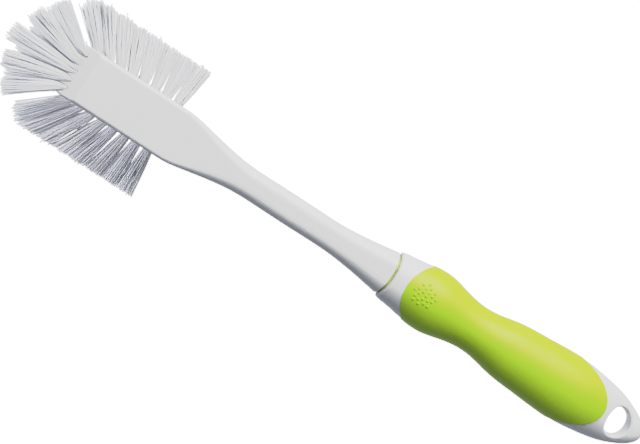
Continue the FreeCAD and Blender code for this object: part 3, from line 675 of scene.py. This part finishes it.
@dataclass
class BristleHead:
    """The brush's tufts, one piece each, and the anchors that hold them."""

    finish: NylonFilament
    wire: DrawnWire
    rows: dict[str, Row] = field(
        default_factory=lambda: {
            "tuft_left": Row(Trim.LEFT_SIDE, spread=1.3),
            "tuft_right": Row(Trim.RIGHT_SIDE, spread=1.3, raggedness=2.4),
            "tuft_nose_upper": Row(Trim.SQUARE, spread=1.3, raggedness=2.6),
            "tuft_nose_lower": Row(Trim.SQUARE, raggedness=2.6),
            "tuft_toe": Row(Trim.SQUARE),
            "tuft_keel_left": Row(Trim.LEVEL),
            "tuft_keel_right": Row(Trim.LEVEL),
        }
    )
    filaments: int = 60
    steps: int = 8
    filament_radius: float = 0.0002
    bore_depth: float = 0.005
    knee_length: float = 0.0025
    # Where the filaments start, as a share of the way from the bore's floor to its mouth
    fold_share: float = 0.5
    # Flank tufts that end within the margin of a side line are trimmed to it
    side_reach: float = 0.0281
    side_margin: float = 0.0018
    # How far along Y the trims sit off the brush's middle
    side_shift: float = -0.0008
    square_shift: float = -0.0016
    ragged_share: float = 0.0088
    sway: float = 0.0006
    stray_share: float = 0.06
    stray_sway: float = 0.0013
    seeds_per_tuft: int = 10

    def row_of(self, node: str) -> Row:
        """Return the row that a node belongs to."""
        return self.rows[node.rpartition("_")[0]]

    def trim_plane(self, trim: Trim, lie: TuftLie) -> tuple[Vector, float]:
        """Return the plane that a tuft is trimmed to.

        Args:
            trim: How its row is trimmed.
            lie: How the tuft lies.

        Returns:
            The plane's normal, and its distance from the frame's origin along that normal.
        """
        reaches_side = abs(lie.tip.y) > self.side_reach - self.side_margin
        if trim is Trim.LEFT_SIDE and reaches_side:
            return Vector((0.0, -1.0, 0.0)), self.side_reach - self.side_shift
        if trim is Trim.RIGHT_SIDE and reaches_side:
            return Vector((0.0, 1.0, 0.0)), self.side_reach + self.side_shift
        if trim is Trim.LEVEL:
            return Vector(DOWN), -lie.tip.z
        normal = (lie.tip - lie.knee).normalized()
        return normal, lie.tip.dot(normal) + self.square_shift * normal.y

    def build(self, nodes: dict[str, bpy.types.Object]) -> list[bpy.types.Object]:
        """Grow every tuft in place of its plain solid, and dress the anchors.

        Args:
            nodes: The frame's solids by name.

        Returns:
            The tufts.
        """
        low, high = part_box("anchors_keel")
        centre = (low + high) / 2
        tree = TuftTree(self.finish.tone_name)
        material = self.finish.material()
        names = [name for name in nodes if name.rpartition("_")[0] in self.rows]
        pieces = []
        for number, name in enumerate(names):
            lie = TuftLie.of(nodes[name], centre, self.bore_depth, self.knee_length)
            pieces.append(self.tuft(tree, material, name, lie, number * self.seeds_per_tuft))
        wire = self.wire.material()
        for name in nodes:
            if name.startswith("anchors"):
                nodes[name].material_slots[0].material = wire
        return pieces

    def tuft(
        self, tree: TuftTree, material: bpy.types.Material, node: str, lie: TuftLie, seed: int
    ) -> bpy.types.Object:
        """Grow one tuft in place of its solid.

        Args:
            tree: The tree that grows it.
            material: Its material.
            node: The solid's name.
            lie: How the tuft lies.
            seed: The number that its random draws start from.

        Returns:
            The piece.
        """
        row = self.row_of(node)
        normal, reach = self.trim_plane(row.trim, lie)
        piece = tree.grow(
            f"{node}_filaments",
            {
                "Filaments": self.filaments,
                "Steps": self.steps,
                "Seed": seed,
                "Root": lie.root.lerp(lie.mouth, self.fold_share),
                "Mouth": lie.mouth,
                "Knee": lie.knee,
                "Tip": lie.tip,
                "Trim Normal": normal,
                "Trim Reach": reach,
                "Root Radius": lie.root_radius - self.filament_radius,
                "Tip Width": lie.tip_radius * row.spread,
                "Tip Height": lie.tip_radius,
                "Filament Radius": self.filament_radius,
                "Ragged": self.ragged_share * row.raggedness,
                "Sway": self.sway,
                "Stray Share": self.stray_share,
                "Stray Sway": self.stray_sway,
                "Material": material,
            },
        )
        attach(piece, BODY)
        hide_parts(node)
        return piece


class PipTree(GrowingTree):
    """Sets a round cluster of raised pips on a surface, straight below a place."""

    NAME = "set_pips"
    SIZES = (
        ("Surface", "NodeSocketObject"),
        ("Centre", "NodeSocketVector"),
        ("Pips", "NodeSocketInt"),
        ("Spread", "NodeSocketFloat"),
        ("Radius", "NodeSocketFloat"),
        ("Height", "NodeSocketFloat"),
        ("Drop", "NodeSocketFloat"),
        ("Material", "NodeSocketMaterial"),
    )
    SEGMENTS = 14
    RINGS = 8

    def shape(self) -> Socket:
        """Drop points on the surface and set a pip on each."""
        writer, inputs = self.writer, self.inputs
        number = writer.out("GeometryNodeInputIndex")
        along, across = self.winding(number, inputs["Pips"], inputs["Spread"])
        offset = writer.out("ShaderNodeCombineXYZ", {"X": along, "Y": across})
        surface = writer.add(
            "GeometryNodeObjectInfo", {"Object": inputs["Surface"]}, transform_space="RELATIVE"
        ).outputs["Geometry"]
        cast = writer.add(
            "GeometryNodeRaycast",
            {
                "Target Geometry": surface,
                "Source Position": writer.vector("ADD", inputs["Centre"], offset),
                "Ray Direction": DOWN,
                "Ray Length": inputs["Drop"],
            },
        ).outputs
        landed = {"Count": inputs["Pips"], "Position": cast["Hit Position"]}
        points = writer.out("GeometryNodePoints", landed)
        upright = writer.out("FunctionNodeAlignRotationToVector", {"Vector": cast["Hit Normal"]}, axis="Z")
        ball = {"Segments": self.SEGMENTS, "Rings": self.RINGS, "Radius": 1.0}
        dome = writer.out("GeometryNodeMeshUVSphere", ball)
        half_sizes = {"X": inputs["Radius"], "Y": inputs["Radius"], "Z": inputs["Height"]}
        scale = writer.out("ShaderNodeCombineXYZ", half_sizes)
        return writer.out(
            "GeometryNodeInstanceOnPoints",
            {"Points": points, "Instance": dome, "Rotation": upright, "Scale": scale},
        )


@dataclass
class ThumbPips:
    """A plain cluster of raised pips on the grip, where the thumb rests."""

    centre: Triple = (0.041, 0.0005, 0.1)
    pips: int = 22
    spread: float = 0.0048
    radius: float = 0.00055
    height: float = 0.00026
    drop: float = 0.2

    def build(self, grip: bpy.types.Object) -> bpy.types.Object:
        """Set the pips on the grip.

        Args:
            grip: The grip's solid, dressed.

        Returns:
            The piece.
        """
        piece = PipTree().grow(
            "grip_pips",
            {
                "Surface": grip,
                "Centre": self.centre,
                "Pips": self.pips,
                "Spread": self.spread,
                "Radius": self.radius,
                "Height": self.height,
                "Drop": self.drop,
                "Material": grip.material_slots[0].material,
            },
        )
        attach(piece, BODY)
        return piece


@dataclass
class Mouldings:
    """The head with its neck, the handle, the grip and the seal ring."""

    plastic: MouldedPlastic
    rubber: SoftRubber
    # The seal ring's finish: darker and duller than the grip's lime, as painted shade of its groove
    seal: SoftRubber

    def dress(self, nodes: dict[str, bpy.types.Object]) -> list[bpy.types.Object]:
        """Give each moulding its finish.

        Args:
            nodes: The frame's solids by name.

        Returns:
            The solids that were dressed.
        """
        finishes = {
            self.plastic.material(): ("head", "handle"),
            self.rubber.material(): ("grip",),
            self.seal.material(): ("neck_ring",),
        }
        dressed = []
        for material, names in finishes.items():
            for name in names:
                nodes[name].material_slots[0].material = material
                dressed.append(nodes[name])
        return dressed


@dataclass(frozen=True)
class Lamp:
    """A square light that faces the brush. Its size is that of a side, and its power is in watts."""

    name: str
    place: Triple
    size: float
    power: float
    colour: Triple

    def hang(self) -> bpy.types.Object:
        """Hang the light and return it."""
        light = bpy.data.lights.new(self.name, "AREA")
        light.shape = "SQUARE"
        light.size = self.size
        light.energy = self.power
        light.color = self.colour
        lamp = bpy.data.objects.new(self.name, light)
        lamp.location = self.place
        lamp.rotation_euler = (-Vector(self.place)).to_track_quat("-Z", "Y").to_euler()
        bpy.context.scene.collection.objects.link(lamp)
        return lamp


@dataclass
class Studio:
    """The floor, the lights and the camera."""

    floor: PaleFloor
    key: Lamp
    fill: Lamp
    floor_half_size: float = 4.0
    camera_place: Triple = (-0.0073, 0.0023, 0.725)
    camera_turn: float = math.radians(32.93)
    view_angle: float = math.radians(19.7)
    dome_tilt: float = math.radians(20.0)
    dome_edge: float = 0.5
    dome_colour: Triple = (0.16, 0.175, 0.20)
    shade_colour: Triple = (0.05, 0.058, 0.075)
    bounce_colour: Triple = (0.62, 0.65, 0.72)
    bounce_edge: float = 0.3
    film_knee: float = 0.64
    film_white: float = 2.6

    # The curve that takes all three colours, after one for each of them
    WHOLE_CURVE: ClassVar[int] = 3

    def build(self, bristles: list[bpy.types.Object]) -> None:
        """Build the whole studio.

        Args:
            bristles: The pieces that the fill light is for.
        """
        self.lay_floor()
        self.key.hang()
        filled = bpy.data.collections.new("filled")
        for piece in bristles:
            filled.objects.link(piece)
        self.fill.hang().light_linking.receiver_collection = filled
        self.hang_dome()
        self.set_camera()
        self.set_film()

    def lay_floor(self) -> None:
        """Lay the floor just under the brush."""
        half = self.floor_half_size
        corners = [(-half, -half, 0.0), (half, -half, 0.0), (half, half, 0.0), (-half, half, 0.0)]
        mesh = bpy.data.meshes.new("floor")
        mesh.from_pydata(corners, [], [(0, 1, 2, 3)])
        mesh.materials.append(self.floor.material())
        floor = bpy.data.objects.new("floor", mesh)
        bpy.context.scene.collection.objects.link(floor)
        floor.visible_diffuse = False
        floor.visible_glossy = False
        floor.visible_shadow = False

    def hang_dome(self) -> None:
        """Hang a dim dome that leans over the brush's right side, with a pale glow from below."""
        world = bpy.data.worlds.new("studio")
        world.use_nodes = True
        writer = TreeWriter(world.node_tree)
        way = writer.add("ShaderNodeTexCoord").outputs["Generated"]
        crown = (0.0, math.sin(self.dome_tilt), math.cos(self.dome_tilt))
        lit = writer.share(writer.dot(way, crown), (-self.dome_edge, self.dome_edge))
        above = writer.mixed(self.shade_colour, self.dome_colour, lit)
        below = writer.share(writer.dot(way, DOWN), (0.0, self.bounce_edge))
        dome = world.node_tree.nodes["Background"]
        writer.feed(dome.inputs["Color"], writer.mixed(above, self.bounce_colour, below))
        bpy.context.scene.world = world

    def set_camera(self) -> None:
        """Hang the camera straight over the brush, turned so that the brush lies across the picture."""
        lens = bpy.data.cameras.new("camera")
        lens.angle = self.view_angle
        camera = bpy.data.objects.new("camera", lens)
        camera.location = self.camera_place
        camera.rotation_euler = (0.0, 0.0, self.camera_turn)
        bpy.context.scene.collection.objects.link(camera)
        bpy.context.scene.camera = camera

    def set_film(self) -> None:
        """Give the film a shoulder, so that bright whites stay even, as in a high-key picture."""
        view = bpy.context.scene.view_settings
        view.view_transform = "Standard"
        view.use_curve_mapping = True
        response = view.curve_mapping
        response.white_level = (self.film_white,) * 3
        curve = response.curves[self.WHOLE_CURVE]
        curve.points.new(self.film_knee / self.film_white, self.film_knee)
        for point in curve.points:
            point.handle_type = "VECTOR"
        response.update()


def main() -> None:
    """Dress the brush and set it in its studio."""
    logging.basicConfig(level=logging.INFO, format="%(name)s: %(message)s")
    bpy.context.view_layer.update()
    plastic = MouldedPlastic("white_plastic_satin", colour=(0.85, 0.852, 0.855), roughness=0.5)
    rubber = SoftRubber("lime_rubber_soft_touch", colour=(0.46, 0.72, 0.03), roughness=0.5)
    # The seal's darker, duller olive is painted shade: it stands in for the shadow in the ring's groove on
    # a lime ring
    seal = SoftRubber("lime_rubber_seal_painted_shade", colour=(0.40, 0.45, 0.13), roughness=0.6)
    nylon = NylonFilament("bristle_nylon", colour=(0.95, 0.955, 0.965), roughness=0.38)
    wire = DrawnWire("anchor_wire_drawn", colour=(0.58, 0.58, 0.56), roughness=0.35)
    floor = PaleFloor("floor_pale", colour=(0.06, 0.06, 0.06), roughness=0.9)
    key = Lamp("key_light", place=(0.0, 1.01, 0.97), size=0.8, power=27.0, colour=(1.0, 0.99, 0.97))
    fill = Lamp("fill_light", place=(-0.95, -0.45, 0.8), size=1.2, power=17.0, colour=(0.95, 0.95, 1.0))

    for piece in Mouldings(plastic, rubber, seal).dress(frame["nodes"]):
        LOG.info("%s dressed", piece.name)
    pips = ThumbPips().build(frame["nodes"]["grip"])
    LOG.info("%s set, %d faces", pips.name, len(pips.data.polygons))
    bristles = BristleHead(nylon, wire).build(frame["nodes"])
    for piece in bristles:
        LOG.info("%s grown, %d faces", piece.name, len(piece.data.polygons))
    Studio(floor, key, fill).build(bristles)


if __name__ == "__main__":
    main()
